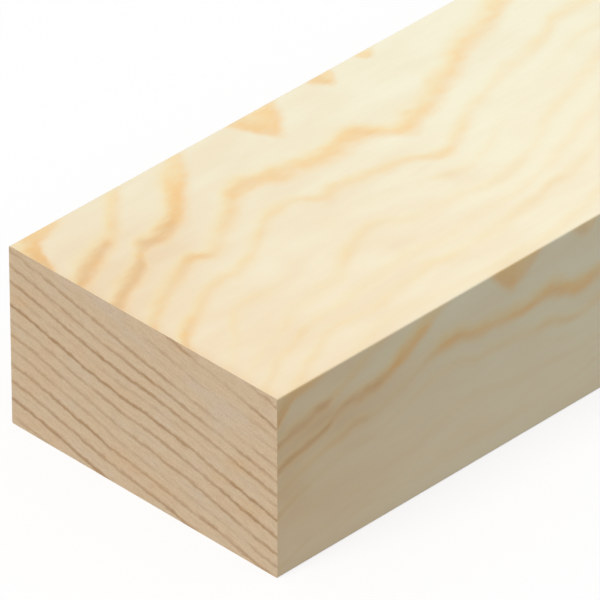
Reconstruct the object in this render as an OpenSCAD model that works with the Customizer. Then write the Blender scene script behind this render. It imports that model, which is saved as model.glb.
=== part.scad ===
// Planed softwood plank: one length of square-edged pine, planed on four sides and cross-cut at both ends.
// It lies flat on its wide face. Length runs along X, width along Y and thickness along Z,
// with the origin at the middle of the underside.

/* [Section] */
// Finished width of the two wide faces
plank_width = 70; // [30:1:225]
// Finished thickness, from the underside to the top face
plank_thickness = 40; // [12:1:100]
// Radius of the four long arrises, which the planer leaves just eased
arris_radius = 0.4; // [0.1:0.1:5]

/* [Length] */
// Length between the two cross-cut ends
plank_length = 1800; // [300:300:6000]

/* [Hidden] */
// Fresh planed pine
pine_colour = [0.93, 0.86, 0.71];
// Sides of a full circle at an arris
arris_sides = 48;
// Half the distances between the centres of the arris arcs
arris_centre_y = plank_width / 2 - arris_radius;
arris_centre_z = plank_thickness / 2 - arris_radius;

// The planed section, centred, with its width across and its thickness up.
// Two crossed rectangles give the four flats, and a disc in each corner rounds the arris between them.
module planed_section() {
    square([2 * arris_centre_y, plank_thickness], center = true);
    square([plank_width, 2 * arris_centre_z], center = true);
    for (side = [-1, 1], level = [-1, 1])
        translate([side * arris_centre_y, level * arris_centre_z])
            circle(r = arris_radius, $fn = arris_sides);
}

// The whole plank: the section carried straight from one cross-cut end to the other.
module plank() {
    color(pine_colour)
        translate([-plank_length / 2, 0, plank_thickness / 2])
            rotate([90, 0, 90])
                linear_extrude(height = plank_length)
                    planed_section();
}

plank();
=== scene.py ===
import math

import bpy
import numpy as np
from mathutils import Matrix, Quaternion, Vector


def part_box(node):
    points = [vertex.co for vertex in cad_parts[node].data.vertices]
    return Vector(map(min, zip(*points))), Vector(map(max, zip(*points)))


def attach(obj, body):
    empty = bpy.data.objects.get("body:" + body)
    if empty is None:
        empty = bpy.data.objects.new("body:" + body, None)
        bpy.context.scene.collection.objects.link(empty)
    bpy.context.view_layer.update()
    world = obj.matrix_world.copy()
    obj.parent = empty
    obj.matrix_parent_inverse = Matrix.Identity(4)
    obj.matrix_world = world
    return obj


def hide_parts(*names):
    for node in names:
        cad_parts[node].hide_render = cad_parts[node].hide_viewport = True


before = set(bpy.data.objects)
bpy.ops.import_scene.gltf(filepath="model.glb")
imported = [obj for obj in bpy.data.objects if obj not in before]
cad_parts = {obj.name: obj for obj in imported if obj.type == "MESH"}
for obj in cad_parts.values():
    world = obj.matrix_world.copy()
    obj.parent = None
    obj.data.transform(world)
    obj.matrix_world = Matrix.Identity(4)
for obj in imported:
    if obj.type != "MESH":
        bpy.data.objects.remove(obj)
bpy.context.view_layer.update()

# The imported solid's place and size, in metres
MM = 0.001
solid_low, solid_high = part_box("plank")
LENGTH = solid_high.x - solid_low.x
WIDTH = solid_high.y - solid_low.y
THICKNESS = solid_high.z - solid_low.z
HALF = np.array([LENGTH, WIDTH, THICKNESS]) / 2
CENTRE = np.array(solid_low) + HALF
NEAR_END = solid_low.x
RIGHT_EDGE = solid_low.y
TOP = solid_high.z
UNDERSIDE = solid_low.z
LENGTH_AXIS = 0
WIDTH_AXIS = 1
HEIGHT_AXIS = 2

# Edges: the planer eases the long arrises, and the saw leaves the rims of the ends crisp
ARRIS_RADIUS = 0.4 * MM
ARRIS_ANGLES = np.radians([0, 15, 30, 45])
GUARD = 0.25 * MM

# Mesh spacing: fine over the stretch by the near end, longer cells along the rest. Points that fall in
# one merge step are one vertex.
CROSS_PITCH = 1.0 * MM
NEAR_STRETCH = 132 * MM
NEAR_PITCH = 1.2 * MM
FAR_PITCH = 8.0 * MM
MERGE_STEP = 0.001 * MM

# Relief: the soft early wood lies this far below the hard late wood, and eases out towards the edges
FACE_RELIEF = 0.03 * MM
END_RELIEF = 0.05 * MM
RELIEF_EASE = 5 * MM

# The grain of the top, drawn from the near end as far as DRAWN_TO, in millimetres. A path is (along,
# across from the left edge). The rest are (along, value), or one value all along: strength is how amber
# the late wood is, core how brown its middle is, rise and fall how far it fades towards the left and the
# right, and side what share of the strength the narrow face shows.
DRAWN_TO = 126.0
GRAIN_LINES = [
    {
        "path": [(0, 10.4), (1, 8.8), (2, 6.6), (3, 4.4), (4.5, 2.4), (8, 1.4), (11, 0.5), (14, -2),
                 (18, -7), (25, -14), (45, -50), (60, -64), (95, -62), (126, -37)],
        "strength": [(0, 0.95), (3, 0.95), (9, 0.85), (13, 0.4), (30, 0.5)],
        "core": [(0, 0.85), (1.5, 0.7), (3, 0.5), (6, 0.3), (10, 0.2), (13, 0)],
        "rise": 14, "fall": 3.4, "side": 0.8,
    },
    {
        "path": [(0, 18.8), (2, 17.6), (5, 16.2), (8, 14.9), (10, 13.6), (12, 12.8), (13.6, 12.3),
                 (15, 11.2), (17, 9.6), (20, 6.6), (23, 3.6), (25, 1.3), (28, -2), (32, -5), (46, -32),
                 (60, -46), (95, -42), (126, -24)],
        "strength": [(0, 0.72), (12, 0.76), (13.5, 0.72), (15, 0.62), (18, 0.66), (22, 0.58), (26, 0.48),
                     (40, 0.6)],
        "core": [(0, 0.9), (8, 0.75), (12, 0.95), (13.8, 0.6), (14.8, 0.05), (18, 0.1), (22, 0)],
        "rise": [(0, 5.2), (6, 6.4), (10, 5), (14, 3.8), (18, 4)],
        "fall": [(0, 4.2), (12, 4.2), (15, 4.2)],
        "side": 0.72,
    },
    {
        "path": [(0, 28.4), (2, 27.1), (5, 25.7), (8, 24.5), (11, 23.1), (13.2, 22.2), (14.6, 19.8),
                 (16, 17.6), (18.5, 16.8), (21, 17.5), (24, 17), (26.5, 16.3), (29, 14.6), (31, 12.8),
                 (33, 10.6), (35, 8.6), (37.5, 6.4), (40, 3.6), (42, 1), (44, -1.5), (47, -5), (52, -9),
                 (55, -4), (56.7, 0), (58.7, 4), (60, 7), (61, 8), (62.4, 6.8), (64.4, 4), (66.6, 1.6),
                 (68.4, -1), (71, -5), (74, -6), (76.9, -2), (78.4, 0.5), (80.6, 3), (82.3, 1.6),
                 (84.2, -1.4), (86, -4), (89, -2.4), (90.6, 0.4), (91.9, 2.3), (93.6, 0.8), (96.4, -2),
                 (110, -9), (126, -10)],
        "strength": [(0, 0.7), (13, 0.74), (15, 0.66), (18, 0.7), (26, 0.82), (30, 0.92), (36, 0.9),
                     (40, 0.7), (43, 0.55), (47, 0.4), (54, 0.5), (57, 0.8), (60, 0.86), (67, 0.8),
                     (70, 0.5), (77, 0.6), (79, 0.76), (83, 0.64), (85, 0.3), (89, 0.3), (90.6, 0.76),
                     (92.8, 0.76), (95, 0.3), (126, 0.4)],
        "core": [(0, 1), (9, 0.85), (13, 1), (14.5, 0.4), (16.5, 0.55), (18.5, 0.95), (22, 0.75),
                 (26, 0.85), (28, 0.45), (31, 0.28), (36, 0.1), (40, 0), (56, 0.1), (58, 0.2), (61, 0.22),
                 (63, 0.05), (77, 0), (79, 0.26), (80.5, 0.3), (81.5, 0)],
        "rise": [(0, 4.8), (13, 4.8), (15, 4.4), (20, 4.6), (26, 5), (29, 6), (33, 7.4), (42, 7), (48, 6),
                 (55, 20), (95, 18), (126, 12)],
        "fall": [(0, 3.8), (14, 3.8), (26, 4.2), (34, 4.8), (42, 4.8), (55, 4.6), (60, 4.4), (64, 5),
                 (95, 2.6), (126, 3)],
        "side": [(0, 0.65), (14, 0.65), (20, 0.72), (27, 0.8), (32, 0.98), (37, 1), (44, 0.8), (55, 1),
                 (68, 1), (76, 0.75)],
    },
    {
        "path": [(0, 38), (2, 36.3), (4, 34.8), (7, 32.8), (10, 31), (12, 30), (14, 29.4), (16, 28.9),
                 (18, 28), (20, 27), (21, 26.8), (22.5, 27.6), (23.6, 28.4), (25, 28), (27, 27), (30, 25),
                 (32, 24), (34, 22.6), (36, 21.3), (37.5, 20), (39, 18.5), (41, 17), (43, 16.2),
                 (45, 16.2), (46.6, 16), (48, 16.8), (50, 18.2), (52, 18.8), (54, 18.4), (57, 19),
                 (59, 19.8), (62, 20.2), (65, 20.5), (68, 19.5), (70, 19), (72, 19.4), (73.5, 20),
                 (75, 21), (77, 23), (78.5, 24), (80, 24.2), (82, 23.4), (85, 22.3), (88, 21.8),
                 (91, 20.4), (94, 18.6), (97, 17.3), (100, 16.2), (103, 14.7), (105, 13.2), (107, 11.9),
                 (109, 11.3), (112, 11), (115, 10.3), (118, 8.6), (126, 4.6)],
        "strength": [(0, 0.56), (6, 0.56), (12, 0.54), (18, 0.64), (22, 0.76), (25, 0.54), (30, 0.52),
                     (37, 0.62), (42, 0.8), (47, 0.8), (50, 0.76), (58, 0.74), (66, 0.78), (73, 0.78),
                     (80, 0.82), (86, 0.7), (95, 0.64), (108, 0.66), (126, 0.6)],
        "core": [(0, 0.35), (2, 0.2), (8, 0.15), (14, 0.25), (19, 0.4), (22.5, 0.5), (25, 0.12),
                 (36, 0.15), (43, 0.2), (47, 0.28), (49, 0.12), (50, 0.26), (53, 0.12), (70, 0.1),
                 (73, 0.24), (76, 0), (88, 0.08), (95, 0)],
        "rise": [(0, 3.8), (20, 3.6), (30, 4), (40, 4.8), (50, 5.2), (68, 5.4), (73, 6.8), (77, 4.8),
                 (84, 5), (90, 5.4), (96, 6.4), (104, 5.4)],
        "fall": [(0, 3.2), (22, 3.4), (30, 4.2), (40, 4.8), (50, 5.8), (70, 5.8), (76, 4.6), (90, 5)],
        "side": [(0, 0.6), (20, 0.65), (36, 0.5), (40, 0.6), (44, 1)],
    },
    {
        "path": [(0, 46.6), (1, 45), (3, 43.3), (5, 42), (7, 41.3), (9, 40.3), (11, 39), (13, 37.8),
                 (15, 36.7), (17, 36), (19, 35.5), (21, 35.3), (23, 36), (25, 35.5), (27, 34.8),
                 (29, 33.8), (31, 32.6), (33, 31.2), (35, 30.2), (37, 28.8), (39, 27.3), (41, 26.6),
                 (43, 26.5), (46, 26), (48, 26.3), (49.5, 27.5), (51, 29), (52.5, 29.9), (54, 29.3),
                 (56, 28.7), (58, 29.3), (61, 29.8), (64, 30.3), (66.5, 31.2), (69, 30.8), (71, 31),
                 (73, 32), (75, 33.8), (77, 35.2), (79, 35.4), (81, 35), (83, 33.8), (85, 32.8),
                 (88, 31.2), (90, 30), (93, 28.6), (96, 27.5), (99, 26.5), (102, 25), (105, 24.3),
                 (108, 23.6), (114, 22.8), (120, 21.6), (124, 18.8), (126, 17.5)],
        "strength": [(0, 0.86), (4, 0.78), (8, 0.6), (14, 0.48), (20, 0.44), (30, 0.46), (44, 0.5),
                     (52, 0.46), (62, 0.48), (70, 0.5), (79, 0.58), (85, 0.52), (92, 0.4), (100, 0.28),
                     (110, 0.38), (122, 0.4)],
        "core": [(0, 0.5), (2, 0.3), (5, 0.3), (9, 0.1), (14, 0.1), (20, 0.12), (30, 0.06), (52, 0.12),
                 (56, 0.1), (60, 0.04), (76, 0.12), (80, 0.05), (90, 0)],
        "rise": [(0, 3.4), (8, 3), (20, 2.8), (60, 3)],
        "fall": [(0, 3.6), (10, 3.2)],
        "side": [(0, 0.45), (10, 0.3), (44, 0.4), (60, 0.75)],
    },
    {
        "path": [(0, 57.5), (5, 54), (8, 51.4), (11, 47.8), (14, 44.6), (17, 43.6), (21, 44), (24, 44.6),
                 (35, 40), (45, 36.5), (60, 38), (70, 39), (74, 41), (78, 41.6), (84, 40.4), (88, 39),
                 (92, 36.6), (100, 33), (126, 25)],
        "strength": [(0, 0.2), (8, 0.34), (12, 0.32), (22, 0.24), (27, 0.06), (68, 0.06), (73, 0.26),
                     (75, 0.3), (80, 0.16), (90, 0.2), (97, 0.06), (126, 0.2)],
        "core": [(0, 0), (72, 0), (74, 0.16), (76, 0.04), (80, 0)],
        "rise": 2.6, "fall": 3, "side": 0.4,
    },
    {
        "path": [(0, 61.5), (8, 57.5), (13, 56.5), (18, 54.5), (21, 52.4), (24, 51.6), (27, 51.8),
                 (31, 50.6), (35, 50.4), (37.5, 49), (40, 46.9), (42.5, 45.3), (45, 44.2), (49, 43.2),
                 (52, 42.4), (54, 42.7), (56, 44), (58, 46), (62, 47), (66, 46.8), (72, 47.4), (75, 48.6),
                 (79, 49.2), (84, 48.3), (88, 47), (94, 45), (100, 41), (106, 38.6), (112, 37), (118, 35),
                 (126, 31)],
        "strength": [(0, 0.1), (10, 0.16), (19, 0.28), (26, 0.24), (32, 0.28), (37, 0.36), (42, 0.48),
                     (46, 0.38), (52, 0.34), (57, 0.26), (66, 0.24), (74, 0.3), (80, 0.3), (90, 0.18),
                     (100, 0.26), (112, 0.28)],
        "core": [(0, 0), (62, 0.05), (76, 0.08), (86, 0.06), (92, 0)],
        "rise": [(0, 2.6), (38, 3)],
        "fall": 3.2, "side": 0.4,
    },
    {
        "path": [(0, 66.6), (3, 65), (5.5, 63.4), (8, 61.4), (13, 60), (16, 59.3), (18.5, 57.6),
                 (21, 57.5), (25, 56.8), (30, 57), (35, 55.8), (40, 55.5), (45, 54.8), (50, 54),
                 (53, 54.3), (57, 55.5), (62, 55), (66, 54), (78, 54), (82, 53.8), (86, 52.8), (90, 51.5),
                 (95, 49.6), (100, 47.8), (105, 45.8), (110, 44.4), (126, 38)],
        "strength": [(0, 0.34), (6, 0.36), (9, 0.26), (18, 0.36), (25, 0.3), (40, 0.32), (52, 0.28),
                     (60, 0.18), (75, 0.2), (84, 0.26), (100, 0.28)],
        "core": [(0, 0.15), (7, 0.15), (10, 0.05), (18, 0.1), (21, 0)],
        "rise": 2.4, "fall": 3, "side": 0.4,
    },
    {
        "path": [(0, 73), (4, 70), (8, 68), (11, 66.5), (15, 65), (18, 63), (21, 61.3), (25, 60.7),
                 (28, 61.8), (32, 62.2), (35, 62.2), (38, 60.8), (42, 60.4), (46, 60.1), (51, 59),
                 (54, 60), (58, 60.5), (62, 60), (66, 59.8), (70, 59.4), (73, 58.6), (76, 58.2),
                 (80, 57.8), (84, 56.6), (86, 55.6), (88, 56.4), (92, 56.2), (96, 55), (100, 53.4),
                 (126, 45)],
        "strength": [(0, 0.32), (10, 0.36), (16, 0.32), (22, 0.36), (30, 0.26), (36, 0.38), (44, 0.28),
                     (51, 0.42), (60, 0.28), (70, 0.32), (78, 0.38), (88, 0.32), (100, 0.28)],
        "core": [(0, 0.05), (22, 0.08), (26, 0), (72, 0), (76, 0.06), (88, 0.1), (94, 0.02)],
        "rise": 2.4, "fall": 3, "side": 0.4,
    },
    {
        "path": [(0, 81), (10, 73), (20, 69.6), (26, 67.4), (32, 66), (38, 66.6), (50, 68), (58, 68.8),
                 (66, 68.4), (75, 68), (82, 66.4), (88, 65), (126, 57)],
        "strength": [(0, 0.3), (30, 0.24), (44, 0.1), (60, 0.24), (88, 0.26)],
        "rise": 2.4, "fall": 3, "side": 0.4,
    },
]
LINE_ROUNDING = np.linspace(-0.8, 0.8, 5)
# On the narrow faces the lines are a little browner and spread further
SIDE_CORE = 1.1
SIDE_SPREAD = 1.25

# Past the drawn stretch the lines sway together, as waves of (reach across, length), in millimetres
SWAYS = [(24.0, 1130.0), (10.0, 410.0), (4.2, 163.0), (1.6, 71.0)]
SWAY_START = 90.0
SWAY_GAIN = 1.25
SWAY_GAIN_FALL = 0.009
SWAY_GAIN_LIMITS = (0.55, 1.5)
# Each line also has waves of its own, and a strength of its own that swells and fades
OWN_REACH = 0.9
OWN_WAVES = (48.0, 95.0)
WILD_STRENGTH = (0.18, 0.82)
WILD_LEAST_SWELL = 0.6
WILD_SWELLS = (220.0, 520.0)
WILD_CORE = 0.3
WILD_RISE = (2.8, 5.2)
WILD_FALL_SHARE = 0.95
# Lines that only the rest of the length needs, at an even spacing on both sides of the drawn ones
FACE_SPARES = 9
FACE_SPARE_SPACING = 10.5
FACE_SPARE_CLEARANCE = 20.0
SPARE_VALUES = {"strength": 0.4, "core": 0.0, "rise": 3.6, "fall": 2.4, "side": 1.0}
LEAST_GAP = 0.5
WIDTH_LIMITS = (0.04, 0.5)

# The rings in the sawn ends, drawn in millimetres: a path is (across from the left, down from the top)
END_LINES = [
    {"path": [(0, -13), (60, 0), (66, 1), (70, 2)], "strength": [(60, 0), (63, 0.45), (70, 0.72)]},
    {
        "path": [(0, -8), (20, -4.3), (42.5, 0.1), (45, 0.9), (47, 1.5), (49, 1.8), (52, 2.5), (55, 3.3),
                 (60, 4.3), (63, 5.1), (66, 5.7), (70, 6.9)],
        "strength": [(40, 0.8), (47, 0.7), (50, 0.3), (60, 0.3), (63, 0.7), (66, 0.9), (70, 0.8)],
    },
    {
        "path": [(0, -3.5), (30, 2.5), (39, 4.1), (42, 4.7), (46, 5.7), (50, 6.7), (60, 7.7), (66, 8.4),
                 (70, 9.2)],
        "strength": [(34, 0.05), (40, 0.4), (43, 0.4), (50, 0.3), (53, 0.05), (62, 0.2), (66, 0.35)],
    },
    {
        "path": [(0, -1.3), (40, 7), (55, 9.4), (64, 10.6), (70, 11.6)],
        "strength": [(38, 0.1), (42, 0.2), (46, 0), (62, 0), (66, 0.32)],
    },
    {
        "path": [(0, 0.9), (6, 2), (10, 2.8), (15, 4.1), (20, 5.1), (26, 6.5), (31, 7.7), (36, 8.8),
                 (42, 10), (48, 11.2), (55, 12.5), (63, 13.9), (70, 15.3)],
        "strength": [(0, 0.4), (6, 0.5), (13, 0.68), (20, 0.6), (28, 0.72), (42, 0.78), (45, 0.4),
                     (52, 0.45), (57, 0.16), (62, 0.25), (65, 0.66), (69, 0.5)],
    },
    {
        "path": [(0, 4.4), (6, 5.6), (12, 6.9), (18, 8.4), (24, 9.9), (30, 10.8), (36, 12), (40, 12.5),
                 (48, 14.1), (55, 15.4), (60, 16.4), (65, 17.3), (70, 18.6)],
        "strength": [(0, 0.6), (14, 0.66), (22, 0.5), (30, 0.76), (37, 0.95), (42, 0.8), (50, 0.75),
                     (54, 0.36), (58, 0.6), (62, 0.85), (66, 0.6)],
    },
    {
        "path": [(0, 7.9), (4.5, 8.9), (10, 10), (15, 11.4), (21, 12.7), (27, 13.9), (33, 14.7),
                 (38, 15.3), (43, 16.2), (49, 17.4), (56, 18.8), (62, 20), (70, 21.6)],
        "strength": [(0, 0.7), (4.5, 0.9), (10, 0.75), (18, 0.85), (24, 1), (30, 0.9), (36, 1), (42, 0.8),
                     (50, 0.75), (56, 0.55), (61, 0.95), (66, 0.75)],
    },
    {
        "path": [(0, 10.4), (7, 12), (13, 13.1), (23, 15.6), (30, 17), (36, 17.4), (45, 18.9), (56, 21.4),
                 (70, 24)],
        "strength": [(0, 0.15), (7, 0.34), (13, 0.3), (18, 0.1), (23, 0.24), (29, 0.42), (36, 0.34),
                     (45, 0.3), (52, 0.12), (64, 0.12), (69, 0.34)],
    },
    {
        "path": [(0, 13), (6, 14.3), (12, 15.8), (17, 17), (21, 18), (27, 19), (30, 19.7), (36, 20.1),
                 (42, 21.2), (48, 22.1), (53, 23.5), (58, 24.4), (63, 25.5), (70, 27)],
        "strength": [(0, 1), (46, 0.95), (52, 0.66), (56, 0.85), (60, 1)],
    },
    {
        "path": [(0, 16.7), (7, 17.9), (13, 19.4), (17, 20.6), (23, 21.7), (28, 22.7), (30, 23.3),
                 (35, 23.5), (41, 24.5), (49, 26.1), (56, 27.7), (62, 29.3), (70, 30.9)],
        "strength": [(0, 0.36), (6, 0.5), (12, 0.5), (17, 0.6), (21, 0.36), (24, 0.76), (30, 0.7),
                     (36, 0.6), (41, 0.75), (49, 0.6), (54, 0.75), (58, 0.95), (64, 1), (70, 0.9)],
    },
    {
        "path": [(0, 19.8), (6, 20.9), (11, 22.2), (15, 23.2), (21, 24.6), (28, 26.6), (33, 27.2),
                 (39, 28.2), (42, 29), (45, 29), (49, 30), (55, 31.5), (61, 33), (70, 34.8)],
        "strength": [(0, 0.5), (4, 0.66), (18, 0.6), (26, 0.5), (32, 0.6), (40, 0.7), (46, 0.75),
                     (52, 0.66), (56, 0.85), (62, 0.66), (70, 0.8)],
    },
    {
        "path": [(0, 23), (4, 23.6), (9, 25), (13, 26), (18, 27.1), (24, 28.6), (30, 30.3), (38, 31.8),
                 (48, 33.4), (56, 34.7), (64, 36.5), (70, 37.6)],
        "strength": [(0, 0.3), (6, 0.5), (9, 0.5), (13, 0.26), (17, 0.55), (24, 0.5), (30, 0.32),
                     (36, 0.42), (42, 0.16), (47, 0.45), (52, 0.2), (56, 0.36), (60, 0.2), (64, 0.5),
                     (70, 0.6)],
    },
    {
        "path": [(0, 26.6), (6, 27.5), (12, 28.9), (16, 30), (22, 31.3), (26, 32.6), (31, 33.2),
                 (38, 34.3), (44, 35.5), (50, 36.4), (55, 37), (59, 38.2), (70, 40.6)],
        "strength": [(0, 0.6), (4, 0.76), (8, 0.66), (14, 0.95), (22, 1), (26, 0.85), (30, 0.66),
                     (40, 0.66), (48, 0.5), (53, 0.9), (57, 0.6), (62, 0.8)],
    },
    {
        "path": [(0, 30.4), (6, 31.2), (13, 33), (20, 34.7), (27, 36.3), (33, 37.1), (40, 38.2),
                 (46, 39.7), (70, 44.6)],
        "strength": [(0, 0.6), (3, 0.76), (8, 0.66), (22, 0.76), (28, 0.56), (33, 0.8), (40, 0.85)],
    },
    {
        "path": [(0, 34.3), (7.5, 35.7), (13, 37), (19, 38.6), (24, 39.8), (70, 49)],
        "strength": 0.95,
    },
    {"path": [(0, 38.2), (8, 39.7), (70, 53)], "strength": [(0, 0.3), (6, 0.5)]},
]
END_VALUES = {"core": 0.0, "rise": 0.85, "fall": 0.65}
END_SPARES = 1
END_SPARE_SPACING = 8.0
FAR_END_SHIFT = 1.3
# Soft spots on the ends: (across, down, reach across, reach down, amount). Above zero they are greyer,
# below it warmer.
END_SPOTS = [
    (20, 2, 15, 3, 0.45), (48, 7.5, 9, 4, 0.4), (59, 9.5, 8, 5, 0.5), (46, 31, 7, 3, 0.35),
    (30, 28.5, 5, 2, 0.3), (2.5, 11, 4, 1.6, -0.7), (24, 16.4, 4, 1.3, -0.8), (11, 16.6, 2.5, 1.2, -0.5),
    (63, 27.8, 3.6, 1.5, -1.0), (65, 7.2, 3, 1.2, -0.9), (58.5, 20.6, 3, 1.4, -0.8),
    (66, 21, 3, 1.4, -0.7), (45, 1.2, 3.5, 1.2, -0.8), (55, 25.6, 2.5, 1.3, -0.6),
    (6, 1, 5, 1.2, -0.7), (33, 36, 8, 2, -0.3), (14, 35, 7, 2, -0.3),
]

# How pale the early wood is, 0 to 1: at the near end, then steps along and across as (gain, from, to),
# and soft spots as (along, across, reach along, reach across, gain), all in millimetres. The steps along
# are partly painted light, for light that falls off towards the near end, and the narrow face's step
# across, paler towards the underside, is painted light that offsets the shade by the floor.
TOP_TONE_AND_PAINTED_LIGHT = {
    "start": 0.385,
    # Painted light in part: the steps along also stand in for light that falls off towards the near end
    "along": [(0.195, 0, 2.6), (0.155, 5, 45), (0.26, 35, 110)],
    "across": [],
    "spots": [
        (6, 21, 9, 4, -0.26), (21, 22, 7, 4, -0.26), (4, 31.5, 6, 3, -0.17), (13, 26.5, 6, 3, -0.14),
        (31, 19, 6, 3, -0.1), (7, 9, 6, 4, -0.14), (20, 12, 6, 3, -0.1), (74.2, 41, 2, 3, -0.14),
        (64, 45.5, 3.5, 1.8, -0.11), (33, 39.5, 2, 2.4, -0.1), (50.5, 50.5, 2.5, 1.2, -0.1),
        (18.5, 57.5, 1.8, 1.5, -0.11), (21, 44, 3.5, 1.5, -0.1), (52, 32, 2, 1.5, -0.09),
        (87, 57, 2, 1.2, -0.11), (60, 69, 3, 1.2, -0.11), (10, 58, 2, 1.5, -0.09),
        (74.5, 4, 5, 4, -0.12), (91, 4, 9, 5, -0.1), (75, 45, 3, 2, -0.1), (86, 41.5, 5, 5, 0.16),
        (36, 45, 4, 3, 0.09), (45, 50, 4, 3, 0.09), (26, 40, 5, 4, 0.08), (26, 3, 9, 4, 0.1),
    ],
}
SIDE_TONE_AND_PAINTED_LIGHT = {
    "start": 0.315,
    "along": [(0.04, 0, 2.6), (0.36, 0, 48), (0.17, 30, 118)],
    # Painted light: the narrow face is paler towards the underside, to offset the shade by the floor
    "across": [(0.06, 24, 40)],
    "spots": [
        (7, 13.5, 10, 5, -0.16), (21, 13, 8, 3, -0.12), (33, 13, 7, 2.5, -0.06), (8, 31, 16, 8, 0.09),
        (4, 23, 4, 5, -0.2), (12.5, 10, 5, 2.2, -0.22), (30, 25, 9, 3, 0.1), (70, 29, 9, 6, -0.07),
    ],
}
# Past the drawn stretch the tone drifts about a level, in waves of (swing, length)
DRIFT_LEVEL = 0.814
DRIFTS = [(0.114, 540.0), (0.071, 213.0)]
DRIFT_FULL = 320.0

# Colours of the wood, linear
CREAM_DULL = (0.845, 0.605, 0.37, 1)
CREAM_PALE = (0.947, 0.886, 0.682, 1)
# Tints over the cream: the wood is cooler by the left edge and warmer by the right one. On the narrow
# face the cooler top is painted light, evening out its shading from top to bottom.
COOL_TINT = (0.966, 1.0, 1.01, 1)
WARM_TINT = (1.01, 1.0, 0.985, 1)
COOL_FROM = (0.1, 0.9)
COOL_ON_TOP = 0.65
HONEY = (0.925, 0.785, 0.4, 1)
ROSE = (0.9, 0.6, 0.33, 1)
AMBER = (0.955, 0.63, 0.28, 1)
RUSSET = (0.64, 0.36, 0.18, 1)
END_TAN = (0.815, 0.638, 0.44, 1)
END_GREY = (0.798, 0.652, 0.49, 1)
END_WARM = (0.825, 0.607, 0.385, 1)
END_BROWN = (0.425, 0.245, 0.115, 1)

# Noise: it swings about its middle, and a step says where in it an effect begins and where it is full
NOISE_MIDDLE = 0.5
NOISE_ROUGHNESS = 0.5
FINE_ROUGHNESS = 0.6
SLOW_DETAIL = 2.0
DASH_DETAIL = 3.0
FINE_DETAIL = 4.0
PATCH_STEP = (0.3, 0.7)
STREAK_STEP = (0.25, 0.75)
FIBRE_STEP = (0.2, 0.8)
BREAK_STEP = (0.36, 0.6)
DASH_STEP = (0.28, 0.62)

# Late wood: where its rosier side sets in, in shares of its width from the line, and its bump's share
PAST_STEP = (-0.2, 0.3)
BAND_HEIGHT = 0.5

# Planed faces: pattern scales are in turns a metre, and a pair is the value at low and at high noise
FACE_RINGS = {
    "Sweep": 0.2, "Sweep Scale": (150.0, 190.0, 190.0), "Fray": 0.45, "Fray Scale": (300.0, 520.0, 520.0),
    "Break": 0.45, "Break Scale": (120.0, 240.0, 240.0), "Core Share": 0.6,
}
FACE_FIBRES = {"Fibre Scale": (55.0, 1500.0, 1500.0), "Patch Scale": (50.0, 150.0, 150.0)}
FACE_PATCH = 0.09
FACE_STREAK = (0.9, 1.05)
# The late wood is weaker and stronger in small patches
MOTTLE_SCALE = (190.0, 330.0, 330.0)
MOTTLE = (0.82, 1.14)
CORE_MIX = 0.48
FACE_FIBRE_SHADE = 0.035
FACE_ROUGHNESS = (0.62, 0.52)
FACE_SPECULAR = 0.15
FACE_BUMP = 0.12
FACE_BUMP_DEPTH = 0.12 * MM

# Sawn ends
END_RINGS = {
    "Sweep": 0.22, "Sweep Scale": (0.0, 420.0, 420.0), "Fray": 1.15, "Fray Scale": (0.0, 700.0, 1300.0),
    "Break": 0.7, "Break Scale": (0.0, 200.0, 300.0), "Core Share": 0.6,
}
END_FIBRES = {"Fibre Scale": (0.0, 2200.0, 2600.0), "Patch Scale": (0.0, 90.0, 240.0)}
END_PATCH = 0.5
END_LINE_MIX = 0.78
END_DASH = 0.19
DASHES_ALONG = 330.0
DASHES_A_RING = 6.0
END_SPECKLE = 0.2
END_ROUGHNESS = (0.85, 0.75)
END_SPECULAR = 0.12
END_BUMP = 0.25
END_BUMP_DEPTH = 0.2 * MM

# Light
WHITE = (1, 1, 1, 1)
SKY_LEVEL = 0.62
KEY_STRENGTH = 1.58
KEY_SPREAD = 28
KEY_FROM = Vector((-0.657, 0.0, 0.754))
FLOOR_SIZE = 80
FLOOR_GREY = (0.27, 0.25, 0.215, 1)
SHADOW_SHARE = 0.28

# Camera, fitted to the corners and edges of the plank in the picture
CAMERA_AZIMUTH = -45.028
CAMERA_ELEVATION = 34.529
CAMERA_ROLL = -0.075
CAMERA_LENS = 642.96
CAMERA_SENSOR = 36
CAMERA_DISTANCE = 1.96104
CAMERA_CLIP = (0.05, 200)
AIM_FROM_NEAR_END = 25.316 * MM
AIM_FROM_RIGHT_EDGE = 19.403 * MM

# The sheet for the baked materials: three runs of the wrapped-round long faces, and both ends beside them
SHEET_RUNS = 3
SHEET_RUN = LENGTH / SHEET_RUNS
SHEET_GAP = 6.0
SHEET_PAD = 4.0
SHEET_ROUND = 2 * (WIDTH + THICKNESS) / MM
SHEET_SIDE = SHEET_RUNS * (SHEET_ROUND + SHEET_GAP) + 2 * SHEET_PAD
END_SHEET_DOWN = 1.6
END_SHEET_ACROSS = 4.4
END_SHEET_START = SHEET_RUN / MM + 3 * SHEET_PAD

# Numbers of the colour mix node's sockets
MIX_SHARE = 0
MIX_FIRST = 6
MIX_SECOND = 7
MIX_RESULT = 2


def smooth_step(value, low, high):
    """Zero below low, one above high, and an easy S between them."""
    share = np.clip((value - low) / (high - low), 0, 1)
    return share * share * (3 - 2 * share)


def drawn_value(along, drawn):
    """A drawn value: one number all along, or (along, value) pairs with straight runs between them, held
    level past both ends."""
    if isinstance(drawn, (int, float)):
        return np.full_like(along, drawn)
    table = np.array(drawn, float)
    return np.interp(along, table[:, 0], table[:, 1])


def rounded_path(along, path):
    """A drawn line with its corners rounded: the mean of its straight runs over a short window along the
    length. Its first run goes on before the start."""
    table = np.array(path, float)
    window = along[:, None] + LINE_ROUNDING
    slope = (table[1, 1] - table[0, 1]) / (table[1, 0] - table[0, 0])
    before = np.minimum(window - table[0, 0], 0) * slope
    return (np.interp(window, table[:, 0], table[:, 1]) + before).mean(axis=1)


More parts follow.
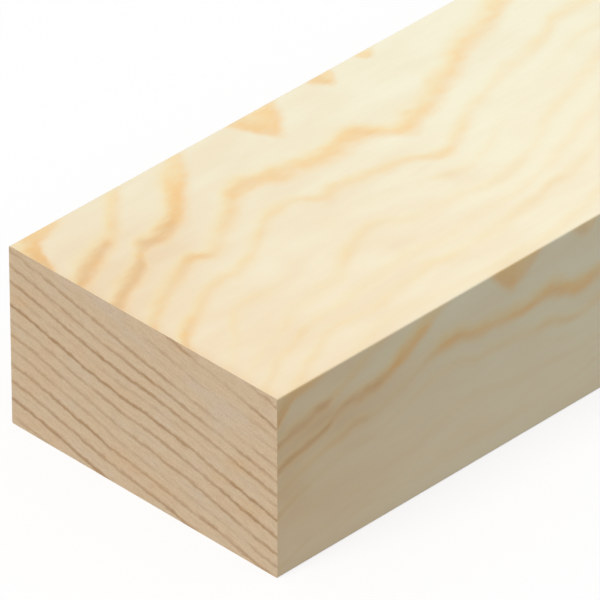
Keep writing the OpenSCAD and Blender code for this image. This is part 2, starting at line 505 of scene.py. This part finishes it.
def figure_at(along, lines, plain):
    """The drawn lines at each station, one row a line: their paths, and each value or the plain one where
    none is drawn."""
    figure = {"path": np.array([rounded_path(along, line["path"]) for line in lines])}
    for key in SPARE_VALUES:
        rows = [drawn_value(along, line.get(key, plain.get(key, 0.0))) for line in lines]
        figure[key] = np.array(rows)
    return figure


def with_spares(figure, count, spacing, clearance):
    """The figure with spare lines on both sides, each one spacing further out, with the spare values."""
    path = figure["path"]
    steps = np.arange(1, count + 1)[:, None] * spacing
    wider = {"path": np.vstack([path[:1] - clearance - steps[::-1], path, path[-1:] + steps])}
    for key, plain in SPARE_VALUES.items():
        extra = np.full((count, path.shape[1]), plain)
        wider[key] = np.vstack([extra, figure[key], extra])
    return wider


def sway(along, turns):
    """How far the grain has moved across: the sum of the waves of SWAYS, each begun at its own share of a
    turn."""
    reach, wave = np.array(SWAYS).T
    return (reach * np.sin(2 * np.pi * (along[:, None] / wave + turns))).sum(axis=1)


def set_free(figure, along, start, random):
    """Past the start the lines sway together, those on the left most, and wave on their own; their
    strengths and widths go over to random ones that swell and fade along the length."""
    count = len(figure["path"])
    onset = smooth_step(along, start, start + SWAY_START)
    turns = random.random(len(SWAYS))
    moved = sway(along, turns) - sway(np.array([start]), turns)
    gain = np.clip(SWAY_GAIN - SWAY_GAIN_FALL * figure["path"], *SWAY_GAIN_LIMITS)
    own_wave = random.uniform(*OWN_WAVES, (count, 1))
    own = OWN_REACH * np.sin(2 * np.pi * (along / own_wave + random.random((count, 1))))
    figure["path"] = figure["path"] + (gain * moved + own) * onset
    swell_wave = random.uniform(*WILD_SWELLS, (count, 1))
    swell = (1 + np.sin(2 * np.pi * (along / swell_wave + random.random((count, 1))))) / 2
    level = random.random((count, 1)) * (WILD_LEAST_SWELL + (1 - WILD_LEAST_SWELL) * swell)
    rise = WILD_RISE[0] + (WILD_RISE[1] - WILD_RISE[0]) * level
    aims = {
        "strength": WILD_STRENGTH[0] + (WILD_STRENGTH[1] - WILD_STRENGTH[0]) * level,
        "core": WILD_CORE * level * swell,
        "rise": rise,
        "fall": WILD_FALL_SHARE * rise,
    }
    for key, aim in aims.items():
        figure[key] = figure[key] + (aim - figure[key]) * onset
    return figure


def face_figure(along, drawn, narrow, seed):
    """Grain lines of a long face. A drawn face follows the drawing and is set free past it; another is
    free all along."""
    held = np.minimum(along, DRAWN_TO) if drawn else np.full_like(along, DRAWN_TO)
    figure = figure_at(held, GRAIN_LINES, SPARE_VALUES)
    if narrow:
        figure["strength"] = figure["strength"] * figure["side"]
        figure["core"] = figure["core"] * SIDE_CORE
        figure["rise"] = figure["rise"] * SIDE_SPREAD
        figure["fall"] = figure["fall"] * SIDE_SPREAD
    figure = with_spares(figure, FACE_SPARES, FACE_SPARE_SPACING, FACE_SPARE_CLEARANCE)
    start = DRAWN_TO if drawn else -SWAY_START
    return set_free(figure, along, start, np.random.default_rng(seed))


def end_figure(across, shift):
    """Ring lines of a sawn end: the drawn ones, moved down by the shift."""
    figure = figure_at(across, END_LINES, END_VALUES)
    figure["path"] = figure["path"] + shift
    return with_spares(figure, END_SPARES, END_SPARE_SPACING, 0.0)


def ring_fields(figure, across):
    """Fields over a face, one row a station. The ring count rises by one from each line to the next, in
    proportion to the distance. The late wood's width is a share of the ring on that side; its strength
    and core are the nearest line's."""
    path = figure["path"]
    gaps = np.maximum(np.diff(path, axis=0), LEAST_GAP)
    count = np.clip((across - path[:-1, :, None]) / gaps[:, :, None], 0, 1).sum(axis=0)
    nearest = np.clip(np.rint(count), 1, len(path) - 2).astype(int)
    station = np.arange(path.shape[1])[:, None]
    rising = count < nearest
    gap = np.where(rising, gaps[nearest - 1, station], gaps[nearest, station])
    reach = np.where(rising, figure["rise"][nearest, station], figure["fall"][nearest, station])
    return {
        "ring_count": count,
        "late_width": np.clip(reach / gap, *WIDTH_LIMITS),
        "late_strength": figure["strength"][nearest, station],
        "late_core": figure["core"][nearest, station],
    }


def spots(first, second, places):
    """The sum of soft round spots, five numbers each: the amount times a bell curve of the distance over
    the two reaches."""
    first_at, second_at, first_reach, second_reach, amount = np.array(places, float).reshape(-1, 5).T
    over_first = (first[..., None] - first_at) / first_reach
    over_second = (second[..., None] - second_at) / second_reach
    return (amount * np.exp(-(over_first ** 2) - over_second ** 2)).sum(axis=-1)


def tone_field(along, across, tone, drawn):
    """How pale the early wood is: it lightens in steps from the near end and across, is duller or paler
    at the spots of a drawn face, and past the drawn stretch goes over to slow waves. The steps along are
    partly painted light, and the narrow face's step across, paler towards the underside, is painted
    light."""
    near = tone["start"] + spots(along, across, tone["spots"] if drawn else [])
    for value, steps in ((along, tone["along"]), (across, tone["across"])):
        for gain, low, high in steps:
            near = near + gain * smooth_step(value, low, high)
    drift = np.full_like(near, DRIFT_LEVEL)
    for swing, wave in DRIFTS:
        drift = drift + swing * np.sin(2 * np.pi * (along / wave + across / wave))
    return near + (drift - near) * smooth_step(along, DRAWN_TO, DRIFT_FULL)


def late_height(fields):
    """The late wood's height, 0 to 1: a smooth hump centred on each whole count, as wide and strong as
    the fields say."""
    count = fields["ring_count"]
    away = np.abs(count - np.rint(count)) / fields["late_width"]
    return (1 - smooth_step(away, 0, 1)) * fields["late_strength"]


def cross_lines(half):
    """Grid lines across a face: even inner ones, and by each edge the arris's lines, which stand past the
    flat's end by the radius times the tangent of their angles."""
    flat = half - ARRIS_RADIUS
    arris = flat + ARRIS_RADIUS * np.tan(ARRIS_ANGLES)
    reach = flat - GUARD
    inner = np.linspace(-reach, reach, round(2 * reach / CROSS_PITCH) + 1)
    return np.concatenate([-arris[::-1], inner, arris])


def length_lines():
    """Grid lines along the length: close together by the near end, further apart beyond, and one on each
    sheet's end."""
    runs = [np.zeros(1), np.linspace(GUARD, NEAR_STRETCH, round(NEAR_STRETCH / NEAR_PITCH) + 1)]
    reached = NEAR_STRETCH
    for number in range(1, SHEET_RUNS + 1):
        stop = number * SHEET_RUN
        runs.append(np.linspace(reached, stop, round((stop - reached) / FAR_PITCH) + 1)[1:])
        reached = stop
    lines = np.concatenate(runs)
    return np.insert(lines, -1, LENGTH - GUARD) - HALF[LENGTH_AXIS]


def eased(points):
    """Rounds the long arrises of a box centred on the origin: within one radius of two faces at once, a
    point is drawn towards the arris's axis until its distance from it is the larger of its two
    offsets."""
    flat = HALF[WIDTH_AXIS:] - ARRIS_RADIUS
    section = points[..., WIDTH_AXIS:]
    inner = np.clip(section, -flat, flat)
    offset = section - inner
    larger = np.abs(offset).max(axis=-1, keepdims=True)
    distance = np.linalg.norm(offset, axis=-1, keepdims=True)
    rounded = inner + offset * larger / np.maximum(distance, MERGE_STEP)
    return np.concatenate([points[..., :WIDTH_AXIS], rounded], axis=-1)


def face_grid(first_axis, second_axis, side, lines, fields, relief):
    """Points of one face: a grid over two axes on the box's side along the third, eased, with the early
    wood sunk below the late wood, by less and less towards the edges and not at all on them."""
    normal = LENGTH_AXIS + WIDTH_AXIS + HEIGHT_AXIS - first_axis - second_axis
    first = lines[first_axis]
    second = lines[second_axis]
    points = np.zeros((len(first), len(second), 3))
    points[:, :, first_axis] = first[:, None]
    points[:, :, second_axis] = second
    points[:, :, normal] = side * HALF[normal]
    points = eased(points)
    margin = np.array([GUARD, ARRIS_RADIUS + GUARD, ARRIS_RADIUS + GUARD]) / 2
    limit = HALF - margin
    clear_first = smooth_step(limit[first_axis] - np.abs(first), 0, RELIEF_EASE)
    clear_second = smooth_step(limit[second_axis] - np.abs(second), 0, RELIEF_EASE)
    sunk = relief * (1 - late_height(fields)) * clear_first[:, None] * clear_second
    points[:, :, normal] -= side * sunk
    return points


def outward_quads(first_axis, second_axis, side, shape):
    """Quads of a grid, turned where its two directions and its outward normal make a left-handed set."""
    rows, columns = shape
    index = np.arange(rows * columns).reshape(rows, columns)
    corners = [index[:-1, :-1], index[1:, :-1], index[1:, 1:], index[:-1, 1:]]
    quads = np.stack(corners, axis=-1).reshape(-1, 4)
    right_handed = (second_axis - first_axis) % 3 == 1
    return quads if right_handed == (side > 0) else quads[:, ::-1]


def long_face(lines, second_axis, side, drawn, seed, around):
    """One long face: stations along the length by lines across it, with its place round the section on
    the sheet."""
    narrow = second_axis == HEIGHT_AXIS
    along = (lines[LENGTH_AXIS] + HALF[LENGTH_AXIS]) / MM
    across = (HALF[second_axis] - lines[second_axis] * (1 if narrow or side > 0 else -1)) / MM
    stretch = WIDTH / THICKNESS if narrow else 1.0
    fields = ring_fields(face_figure(along, drawn, narrow, seed), across * stretch)
    grid_along, grid_across = np.meshgrid(along, across, indexing="ij")
    fields["tone"] = tone_field(grid_along, grid_across, SIDE_TONE_AND_PAINTED_LIGHT if narrow else TOP_TONE_AND_PAINTED_LIGHT, drawn)
    # On the narrow face the cooler top is painted light, evening out its shading from top to bottom
    cool = 1 - smooth_step(grid_across * stretch / (WIDTH / MM), *COOL_FROM)
    fields["coolness_and_painted_light"] = cool if narrow else cool * COOL_ON_TOP
    return {
        "points": face_grid(LENGTH_AXIS, second_axis, side, lines, fields, FACE_RELIEF),
        "quads": outward_quads(LENGTH_AXIS, second_axis, side, grid_along.shape),
        "fields": fields,
        "end": None,
        "sheet": (grid_along, np.broadcast_to(around, grid_along.shape)),
    }


def end_face(lines, side, shift, number):
    """One sawn end: lines across by lines down."""
    across = (HALF[WIDTH_AXIS] - lines[WIDTH_AXIS]) / MM
    down = (HALF[HEIGHT_AXIS] - lines[HEIGHT_AXIS]) / MM
    fields = ring_fields(end_figure(across, shift), down)
    grid_across, grid_down = np.meshgrid(across, down, indexing="ij")
    fields["tone"] = spots(grid_across, grid_down - shift, END_SPOTS)
    fields["coolness_and_painted_light"] = np.zeros_like(fields["tone"])
    return {
        "points": face_grid(WIDTH_AXIS, HEIGHT_AXIS, side, lines, fields, END_RELIEF),
        "quads": outward_quads(WIDTH_AXIS, HEIGHT_AXIS, side, grid_down.shape),
        "fields": fields,
        "end": number,
        "sheet": (grid_down, grid_across),
    }


def plank_faces():
    """The six faces: the top and the right side drawn, the underside and the left side free, and two
    ends."""
    lines = [length_lines(), cross_lines(HALF[WIDTH_AXIS]), cross_lines(HALF[HEIGHT_AXIS])]
    from_left = (HALF[WIDTH_AXIS] - lines[WIDTH_AXIS]) / MM
    from_top = (HALF[HEIGHT_AXIS] - lines[HEIGHT_AXIS]) / MM
    wide = WIDTH / MM
    thick = THICKNESS / MM
    below = 2 * wide + thick
    return [
        long_face(lines, WIDTH_AXIS, side=1, drawn=True, seed=1, around=from_left),
        long_face(lines, HEIGHT_AXIS, side=-1, drawn=True, seed=2, around=wide + from_top),
        long_face(lines, WIDTH_AXIS, side=-1, drawn=False, seed=3, around=below - from_left),
        long_face(lines, HEIGHT_AXIS, side=1, drawn=False, seed=4, around=below + thick - from_top),
        end_face(lines, side=-1, shift=0.0, number=0),
        end_face(lines, side=1, shift=FAR_END_SHIFT, number=1),
    ]


def sheet_places(face):
    """Sheet coordinates of every corner of a face's quads, 0 to 1: a long face goes in runs one above the
    other, and an end is enlarged beside them."""
    right = face["sheet"][0].ravel()[face["quads"]]
    up = face["sheet"][1].ravel()[face["quads"]]
    if face["end"] is None:
        run = np.floor(right.mean(axis=1, keepdims=True) / (SHEET_RUN / MM))
        right = right - run * SHEET_RUN / MM + SHEET_PAD
        up = up + run * (SHEET_ROUND + SHEET_GAP) + SHEET_PAD
    else:
        start = SHEET_PAD + face["end"] * (WIDTH / MM * END_SHEET_ACROSS + SHEET_GAP)
        right = right * END_SHEET_DOWN + END_SHEET_START
        up = up * END_SHEET_ACROSS + start
    return np.stack([right, up], axis=-1) / SHEET_SIDE


def sharp_rims(mesh, quads, is_end):
    """Splits the shading along both rims: an edge is sharp where both its vertices lie on an end and on a
    long face."""
    on_end = np.zeros(len(mesh.vertices), bool)
    on_long = np.zeros(len(mesh.vertices), bool)
    on_end[quads[is_end].ravel()] = True
    on_long[quads[~is_end].ravel()] = True
    pairs = np.empty(2 * len(mesh.edges), np.int32)
    mesh.edges.foreach_get("vertices", pairs)
    sharp = (on_end & on_long)[pairs].reshape(-1, 2).all(axis=1)
    mesh.attributes.new("sharp_edge", "BOOLEAN", "EDGE").data.foreach_set("value", sharp)


def joined(faces):
    """Points and quads of the six grids under one numbering: points that two grids share along an edge
    are merged."""
    starts = np.cumsum([0] + [face["points"].shape[0] * face["points"].shape[1] for face in faces])
    points = np.concatenate([face["points"].reshape(-1, 3) for face in faces]) + CENTRE
    quads = np.concatenate([face["quads"] + start for face, start in zip(faces, starts)])
    keys = np.round(points / MERGE_STEP).astype(np.int64)
    _, kept, number = np.unique(keys, axis=0, return_index=True, return_inverse=True)
    return points[kept], number.reshape(-1)[quads]


def keep_fields(mesh, faces):
    """Keeps every field on the corners of its own face, so that the grain of one face doesn't run into
    the next, and the sheet's coordinates beside them."""
    for name in faces[0]["fields"]:
        values = np.concatenate([face["fields"][name].ravel()[face["quads"]].ravel() for face in faces])
        mesh.attributes.new(name, "FLOAT", "CORNER").data.foreach_set("value", values.astype(np.float32))
    places = np.concatenate([sheet_places(face) for face in faces])
    mesh.uv_layers.new(name="OFBake").data.foreach_set("uv", places.astype(np.float32).ravel())


def add_object(name, data):
    """A new object with that data, linked into the scene."""
    made = bpy.data.objects.new(name, data)
    bpy.context.scene.collection.objects.link(made)
    return made


def build_plank():
    """The plank as one closed mesh, smooth but for its rims, with planed faces and sawn ends."""
    faces = plank_faces()
    points, quads = joined(faces)
    is_end = np.concatenate([np.full(len(face["quads"]), face["end"] is not None) for face in faces])
    mesh = bpy.data.meshes.new("planed_plank")
    mesh.from_pydata(points.tolist(), [], quads.tolist())
    keep_fields(mesh, faces)
    mesh.polygons.foreach_set("material_index", is_end.astype(np.int32))
    mesh.polygons.foreach_set("use_smooth", np.ones(len(quads), bool))
    sharp_rims(mesh, quads, is_end)
    mesh.update()
    return add_object("planed_plank", mesh)


class Wiring:
    """Adds nodes to one node tree and links them, with plain values set on the sockets."""

    def __init__(self, tree):
        self.tree = tree

    def put(self, socket, value):
        """Links a socket to another, or sets its value."""
        if isinstance(value, bpy.types.NodeSocket):
            self.tree.links.new(value, socket)
        else:
            socket.default_value = value

    def node(self, kind, settings, inputs):
        """A node of that kind with its settings, and its inputs by name or number."""
        made = self.tree.nodes.new(kind)
        for name, value in settings.items():
            setattr(made, name, value)
        for name, value in inputs.items():
            self.put(made.inputs[name], value)
        return made

    def math(self, operation, first, second=0.0):
        """The result of one sum."""
        return self.node("ShaderNodeMath", {"operation": operation}, {0: first, 1: second}).outputs[0]

    def times(self, first, second):
        """The product of two values."""
        return self.math("MULTIPLY", first, second)

    def step(self, value, low, high, start, end):
        """A smooth step from start to end as the value goes from low to high."""
        names = ("Value", "From Min", "From Max", "To Min", "To Max")
        inputs = dict(zip(names, (value, low, high, start, end)))
        settings = {"interpolation_type": "SMOOTHSTEP"}
        return self.node("ShaderNodeMapRange", settings, inputs).outputs["Result"]

    def mix(self, share, first, second, blend="MIX"):
        """A mix of two colours."""
        settings = {"data_type": "RGBA", "blend_type": blend}
        inputs = {MIX_SHARE: share, MIX_FIRST: first, MIX_SECOND: second}
        return self.node("ShaderNodeMix", settings, inputs).outputs[MIX_RESULT]

    def attribute(self, name):
        """The piece's own value of that name."""
        return self.node("ShaderNodeAttribute", {"attribute_name": name}, {}).outputs["Fac"]

    def group(self, tree, values):
        """The outputs of a shared group, with the material's own values put in."""
        return self.node("ShaderNodeGroup", {"node_tree": tree}, values).outputs

    def place(self):
        """Object coordinates, in metres."""
        return self.node("ShaderNodeTexCoord", {}, {}).outputs["Object"]

    def cloud(self, scale, detail, roughness=NOISE_ROUGHNESS):
        """Noise over Object coordinates times a scale along each direction."""
        inputs = {0: self.place(), 1: scale}
        stretched = self.node("ShaderNodeVectorMath", {"operation": "MULTIPLY"}, inputs)
        return self.noise(stretched.outputs["Vector"], detail, roughness)

    def noise(self, vector, detail, roughness):
        """Noise over a vector, from 0 to 1 about its middle."""
        inputs = {"Vector": vector, "Scale": 1.0, "Detail": detail, "Roughness": roughness}
        return self.node("ShaderNodeTexNoise", {"noise_dimensions": "3D"}, inputs).outputs["Fac"]

    def swing(self, scale, detail, amount):
        """A cloud about zero, times an amount."""
        centred = self.math("SUBTRACT", self.cloud(scale, detail), NOISE_MIDDLE)
        return self.times(centred, amount)


def new_group(name, inputs, outputs):
    """An empty shader group with named inputs of float or vector kind and named float outputs."""
    group = bpy.data.node_groups.new(name, "ShaderNodeTree")
    for title, value in inputs.items():
        kind = "NodeSocketVector" if isinstance(value, tuple) else "NodeSocketFloat"
        group.interface.new_socket(title, in_out="INPUT", socket_type=kind)
    for title in outputs:
        group.interface.new_socket(title, in_out="OUTPUT", socket_type="NodeSocketFloat")
    wiring = Wiring(group)
    source = wiring.node("NodeGroupInput", {}, {})
    sink = wiring.node("NodeGroupOutput", {}, {})
    return group, wiring, source.outputs, sink.inputs


def growth_ring_group():
    """Late wood from the ring count: a soft band on each whole count. Sweep makes its line wander, Fray
    roughens its edges, and Break interrupts the faint ones. Band is the whole, Core its dark middle, as
    wide as Core Share of it, and Past the side where the count has gone past the line."""
    group, wiring, given, wanted = new_group("growth_rings", FACE_RINGS, ["Band", "Core", "Past"])
    swept = wiring.swing(given["Sweep Scale"], SLOW_DETAIL, given["Sweep"])
    frayed = wiring.swing(given["Fray Scale"], FINE_DETAIL, given["Fray"])
    count = wiring.math("ADD", wiring.attribute("ring_count"), swept)
    away = wiring.math("SUBTRACT", count, wiring.math("ROUND", count))
    share = wiring.math("DIVIDE", away, wiring.attribute("late_width"))
    reach = wiring.math("ADD", wiring.math("ABSOLUTE", share), frayed)
    strength = wiring.attribute("late_strength")
    gaps = wiring.cloud(given["Break Scale"], SLOW_DETAIL)
    missing = wiring.step(gaps, *BREAK_STEP, given["Break"], 0.0)
    faint = wiring.math("SUBTRACT", 1.0, strength)
    whole = wiring.math("SUBTRACT", 1.0, wiring.times(missing, faint))
    band = wiring.times(wiring.step(reach, 0.0, 1.0, 1.0, 0.0), strength)
    middle = wiring.step(reach, 0.0, given["Core Share"], 1.0, 0.0)
    core = wiring.times(middle, wiring.attribute("late_core"))
    past = wiring.step(share, *PAST_STEP, 0.0, 1.0)
    wiring.put(wanted["Band"], wiring.times(band, whole))
    wiring.put(wanted["Core"], wiring.times(core, whole))
    wiring.put(wanted["Past"], wiring.times(past, strength))
    return group


def fibre_group():
    """Wood fibres: fine noise drawn out along one direction, with broad slow patches."""
    group, wiring, given, wanted = new_group("wood_fibres", FACE_FIBRES, ["Fibre", "Patch"])
    wiring.put(wanted["Fibre"], wiring.cloud(given["Fibre Scale"], FINE_DETAIL, FINE_ROUGHNESS))
    wiring.put(wanted["Patch"], wiring.cloud(given["Patch Scale"], SLOW_DETAIL))
    return group


def start_material(name):
    """A material with a bare Principled shader, and its wiring."""
    material = bpy.data.materials.new(name)
    material.use_nodes = True
    return material, Wiring(material.node_tree), material.node_tree.nodes["Principled BSDF"]


def add_bump(wiring, shader, band, fibre, strength, depth):
    """Relief too fine for the mesh: the late wood stands a little proud of the fibres."""
    height = wiring.math("ADD", wiring.times(band, BAND_HEIGHT), fibre)
    bump = wiring.node("ShaderNodeBump", {}, {"Strength": strength, "Distance": depth, "Height": height})
    wiring.put(shader.inputs["Normal"], bump.outputs["Normal"])


def pine_face_material(rings, fibres):
    """Planed faces: cream early wood that pales along the length, partly as painted light, and is cooler
    by the left edge, with painted light in the narrow face's cooler top and paler lower part, streaky
    amber late wood with a honey fringe, rosier past the line, and a browner core, and fine fibres."""
    material, wiring, shader = start_material("pine_face")
    ring = wiring.group(rings, FACE_RINGS)
    wood = wiring.group(fibres, FACE_FIBRES)
    patch = wiring.step(wood["Patch"], *PATCH_STEP, -FACE_PATCH, FACE_PATCH)
    # The tone carries painted light: the paling along the length in part, and the narrow face's paling
    # towards the underside
    tone = wiring.math("ADD", wiring.attribute("tone"), patch)
    # On the narrow face the cool tint is painted light, evening out the shading from top to bottom
    tint = wiring.mix(wiring.attribute("coolness_and_painted_light"), WARM_TINT, COOL_TINT)
    cream = wiring.mix(1.0, wiring.mix(tone, CREAM_DULL, CREAM_PALE), tint, "MULTIPLY")
    mottled = wiring.step(wiring.cloud(MOTTLE_SCALE, SLOW_DETAIL), *PATCH_STEP, *MOTTLE)
    streak = wiring.step(wood["Fibre"], *STREAK_STEP, *FACE_STREAK)
    streaked = wiring.times(ring["Band"], wiring.times(streak, mottled))
    fringe = wiring.mix(ring["Past"], HONEY, ROSE)
    late = wiring.mix(streaked, cream, wiring.mix(streaked, fringe, AMBER))
    toned = wiring.mix(wiring.times(ring["Core"], CORE_MIX), late, RUSSET)
    fine = wiring.step(wood["Fibre"], *FIBRE_STEP, FACE_FIBRE_SHADE, 0.0)
    wiring.put(shader.inputs["Base Color"], wiring.mix(fine, toned, RUSSET))
    wiring.put(shader.inputs["Roughness"], wiring.step(wood["Fibre"], *FIBRE_STEP, *FACE_ROUGHNESS))
    add_bump(wiring, shader, ring["Band"], wood["Fibre"], FACE_BUMP, FACE_BUMP_DEPTH)
    shader.inputs["Specular IOR Level"].default_value = FACE_SPECULAR
    return material


def pine_end_material(rings, fibres):
    """Sawn ends: tan wood, greyer and warmer in places, with narrow brown ring lines, short dashes along
    the rings and fine open pores."""
    material, wiring, shader = start_material("pine_end")
    ring = wiring.group(rings, END_RINGS)
    wood = wiring.group(fibres, END_FIBRES)
    axes = wiring.node("ShaderNodeSeparateXYZ", {}, {"Vector": wiring.place()}).outputs
    along_ring = wiring.times(axes["Y"], DASHES_ALONG)
    over_ring = wiring.times(wiring.attribute("ring_count"), DASHES_A_RING)
    dash_place = wiring.node("ShaderNodeCombineXYZ", {}, {"X": along_ring, "Y": over_ring})
    dash = wiring.noise(dash_place.outputs["Vector"], DASH_DETAIL, FINE_ROUGHNESS)
    patch = wiring.step(wood["Patch"], *PATCH_STEP, -END_PATCH, END_PATCH)
    tone = wiring.math("ADD", wiring.attribute("tone"), patch)
    greyed = wiring.mix(wiring.step(tone, 0.0, 1.0, 0.0, 1.0), END_TAN, END_GREY)
    tan = wiring.mix(wiring.step(tone, -1.0, 0.0, 1.0, 0.0), greyed, END_WARM)
    dashed = wiring.mix(wiring.step(dash, *DASH_STEP, END_DASH, 0.0), tan, END_BROWN)
    lined = wiring.mix(wiring.times(ring["Band"], END_LINE_MIX), dashed, END_BROWN)
    fine = wiring.step(wood["Fibre"], *STREAK_STEP, END_SPECKLE, 0.0)
    wiring.put(shader.inputs["Base Color"], wiring.mix(fine, lined, END_BROWN))
    wiring.put(shader.inputs["Roughness"], wiring.step(wood["Fibre"], *FIBRE_STEP, *END_ROUGHNESS))
    add_bump(wiring, shader, ring["Band"], wood["Fibre"], END_BUMP, END_BUMP_DEPTH)
    shader.inputs["Specular IOR Level"].default_value = END_SPECULAR
    return material


def seen_directly(wiring):
    """One for a camera, glossy or transmission ray, zero for the rays that carry light."""
    path = wiring.node("ShaderNodeLightPath", {}, {}).outputs
    seen = wiring.math("MAXIMUM", path["Is Camera Ray"], path["Is Glossy Ray"])
    return wiring.math("MAXIMUM", seen, path["Is Transmission Ray"])


def build_world():
    """An even sky that lights softly and looks white."""
    world = bpy.data.worlds.new("studio")
    bpy.context.scene.world = world
    world.use_nodes = True
    wiring = Wiring(world.node_tree)
    background = world.node_tree.nodes["Background"]
    background.inputs["Color"].default_value = WHITE
    strength = wiring.step(seen_directly(wiring), 0.0, 1.0, SKY_LEVEL, 1.0)
    wiring.put(background.inputs["Strength"], strength)


def build_floor():
    """A wide flat floor, white to look at with a faint shadow, and mid grey to the light it throws
    back."""
    half = FLOOR_SIZE / 2
    outline = [(-half, -half), (half, -half), (half, half), (-half, half)]
    corners = [(x, y, UNDERSIDE) for x, y in outline]
    mesh = bpy.data.meshes.new("floor")
    mesh.from_pydata(corners, [], [(0, 1, 2, 3)])
    floor = add_object("floor", mesh)
    material, wiring, shader = start_material("floor_white")
    grey = wiring.node("ShaderNodeBsdfDiffuse", {}, {"Color": FLOOR_GREY}).outputs[0]
    lit = wiring.node("ShaderNodeBsdfDiffuse", {}, {"Color": WHITE}).outputs[0]
    glow = wiring.node("ShaderNodeEmission", {}, {"Color": WHITE, "Strength": 1.0}).outputs[0]
    white = wiring.node("ShaderNodeMixShader", {}, {0: SHADOW_SHARE, 1: glow, 2: lit}).outputs[0]
    seen = seen_directly(wiring)
    chosen = wiring.node("ShaderNodeMixShader", {}, {0: seen, 1: grey, 2: white}).outputs[0]
    wiring.put(material.node_tree.nodes["Material Output"].inputs["Surface"], chosen)
    material.node_tree.nodes.remove(shader)
    mesh.materials.append(material)


def build_key_light():
    """One broad soft lamp from above the near end."""
    lamp = bpy.data.lights.new("key", "SUN")
    lamp.energy = KEY_STRENGTH
    lamp.angle = math.radians(KEY_SPREAD)
    key = add_object("key", lamp)
    key.rotation_euler = KEY_FROM.to_track_quat("Z", "Y").to_euler()
    key.location = KEY_FROM


def build_camera():
    """The fitted camera: it looks from its azimuth and elevation at a point on the top, with a slight
    roll."""
    azimuth = math.radians(CAMERA_AZIMUTH)
    elevation = math.radians(CAMERA_ELEVATION)
    level = math.cos(elevation)
    back = Vector((math.sin(azimuth) * level, -math.cos(azimuth) * level, math.sin(elevation)))
    aim = Vector((NEAR_END + AIM_FROM_NEAR_END, RIGHT_EDGE + AIM_FROM_RIGHT_EDGE, TOP))
    data = bpy.data.cameras.new("camera")
    data.lens = CAMERA_LENS
    data.sensor_width = CAMERA_SENSOR
    data.clip_start, data.clip_end = CAMERA_CLIP
    camera = add_object("camera", data)
    camera.rotation_mode = "QUATERNION"
    roll = Quaternion((0, 0, 1), math.radians(CAMERA_ROLL))
    camera.rotation_quaternion = back.to_track_quat("Z", "Y") @ roll
    camera.location = aim + back * CAMERA_DISTANCE
    bpy.context.scene.camera = camera


rings = growth_ring_group()
fibres = fibre_group()
plank = build_plank()
plank.data.materials.append(pine_face_material(rings, fibres))
plank.data.materials.append(pine_end_material(rings, fibres))
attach(plank, "root")
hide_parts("plank")

build_world()
build_floor()
build_key_light()
build_camera()
bpy.context.scene.view_settings.view_transform = "Standard"
